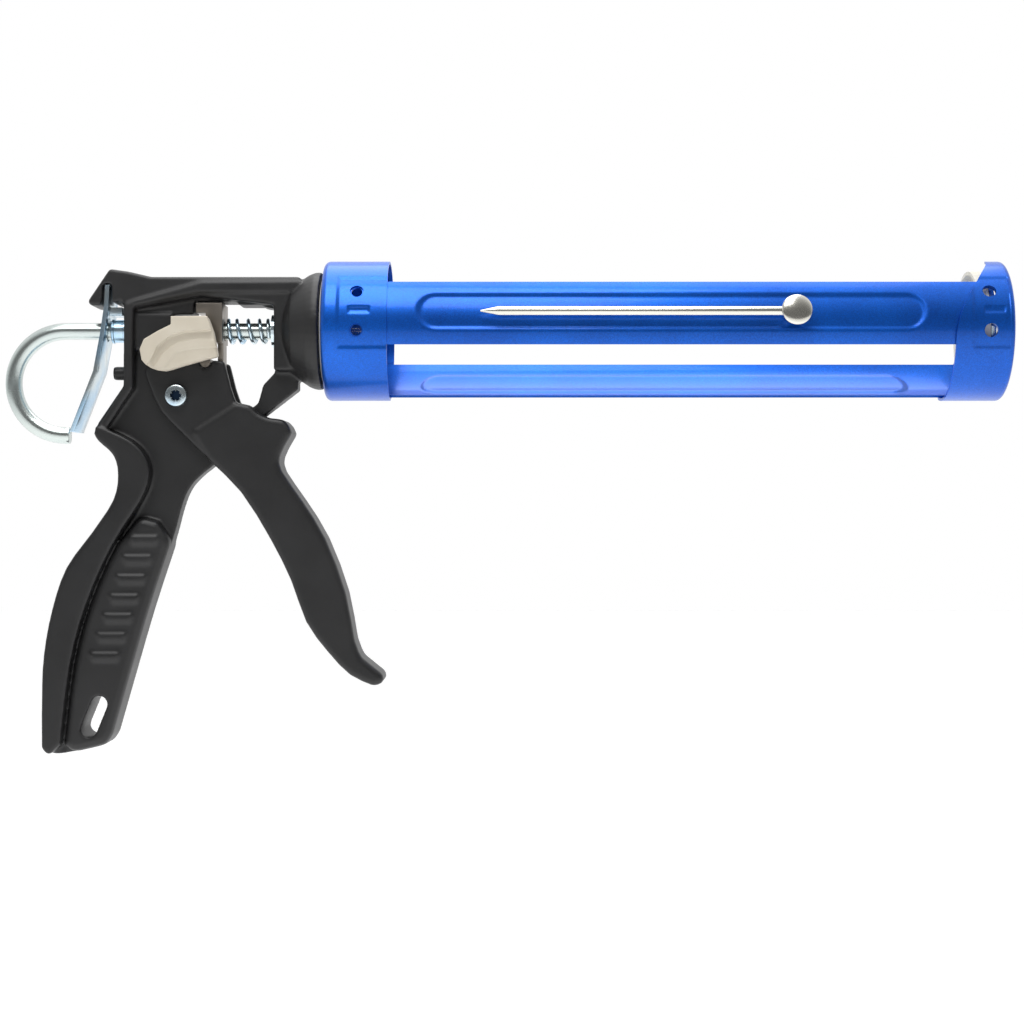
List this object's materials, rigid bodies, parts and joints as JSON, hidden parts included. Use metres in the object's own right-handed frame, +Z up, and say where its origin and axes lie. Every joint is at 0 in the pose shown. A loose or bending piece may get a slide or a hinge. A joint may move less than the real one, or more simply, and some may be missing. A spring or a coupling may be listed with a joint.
{
  "type": "caulking gun",
  "caption": "Skeleton cartridge gun with a revolving blue cradle, hooked push rod, black pistol grip and trigger, thumb release plate and swing-out puncture needle.",
  "frame": {"origin": "in the pistol grip, where the hand closes round it; the barrel axis is 88 mm above it", "axes": "+X along the barrel towards the nozzle end, +Z up, -Y the side with the lever and the needle"},
  "size_m": [0.3874, 0.0594, 0.1912],
  "materials": {
    "black_polyamide": "moulded satin black",
    "blue_paint": "metallic blue stove enamel on pressed steel",
    "zinc": "bright zinc plate",
    "nickel": "bright nickel plate",
    "cast_lever": "warm grey powder coat on a die casting",
    "hard_steel": "hardened steel, oiled",
    "bronze": "sintered bronze",
    "seal": "off-white rubber"
  },
  "bodies": {
    "frame": {"frame_casting": "black_polyamide", "pivot_screw": "zinc", "pivot_nut": "zinc", "front_bush": "bronze", "friction_washer": "seal", "cradle_circlip": "hard_steel", "spring_seat_washer": "zinc", "drive_spring": "zinc", "selector_pin": "hard_steel", "release_spring": "zinc"},
    "cradle": {"near_rail": "blue_paint", "far_rail": "blue_paint", "rear_collar": "blue_paint", "cradle_end_plate": "blue_paint", "front_ring": "blue_paint", "needle_rivet": "nickel"},
    "rod": {"push_rod": "zinc", "piston_plate": "zinc", "piston_seal": "seal", "piston_washer": "zinc", "piston_rear_nut": "zinc", "piston_front_nut": "zinc"},
    "trigger": {"trigger": "black_polyamide", "push_pin": "hard_steel"},
    "drive": {"drive_plate": "hard_steel"},
    "release": {"release_plate": "zinc"},
    "selector": {"selector_lever": "cast_lever"},
    "needle": {"puncture_needle": "nickel"}
  },
  "joints": [
    {"name": "cradle_turn", "type": "hinge", "parent": "frame", "child": "cradle", "pos_m": [0.073, 0, 0.088], "axis": [1, 0, 0], "continuous": true},
    {"name": "rod_slide", "type": "slide", "parent": "frame", "child": "rod", "axis": [1, 0, 0], "range_m": [-0.215, 0]},
    {"name": "trigger_pull", "type": "hinge", "parent": "frame", "child": "trigger", "pos_m": [0.0153, 0, 0.0624], "axis": [0, 1, 0], "range_deg": [0, 28], "stiffness_Nm_per_rad": 0.8, "springref_deg": -20.05},
    {"name": "drive_stroke", "type": "slide", "parent": "frame", "child": "drive", "axis": [1, 0, 0], "range_m": [0, 0.0052], "deforming": ["drive_spring"]},
    {"name": "release_tilt", "type": "hinge", "parent": "frame", "child": "release", "pos_m": [-0.0116, 0, 0.1053], "axis": [0, -1, 0], "range_deg": [0, 5], "stiffness_Nm_per_rad": 0.3, "springref_deg": -11.46, "deforming": ["release_spring"]},
    {"name": "selector_turn", "type": "hinge", "parent": "frame", "child": "selector", "pos_m": [0.0095, -0.014, 0.0846], "axis": [0, 1, 0], "range_deg": [0, 25]},
    {"name": "needle_swing", "type": "hinge", "parent": "cradle", "child": "needle", "pos_m": [0.2514, -0.02869, 0.09316], "axis": [0, -0.9842, 0.1771], "range_deg": [0, 180]}
  ],
  "couplings": [
    {"joint": "drive_stroke", "follows": "trigger_pull", "m_per_rad": 0.01}
  ]
}
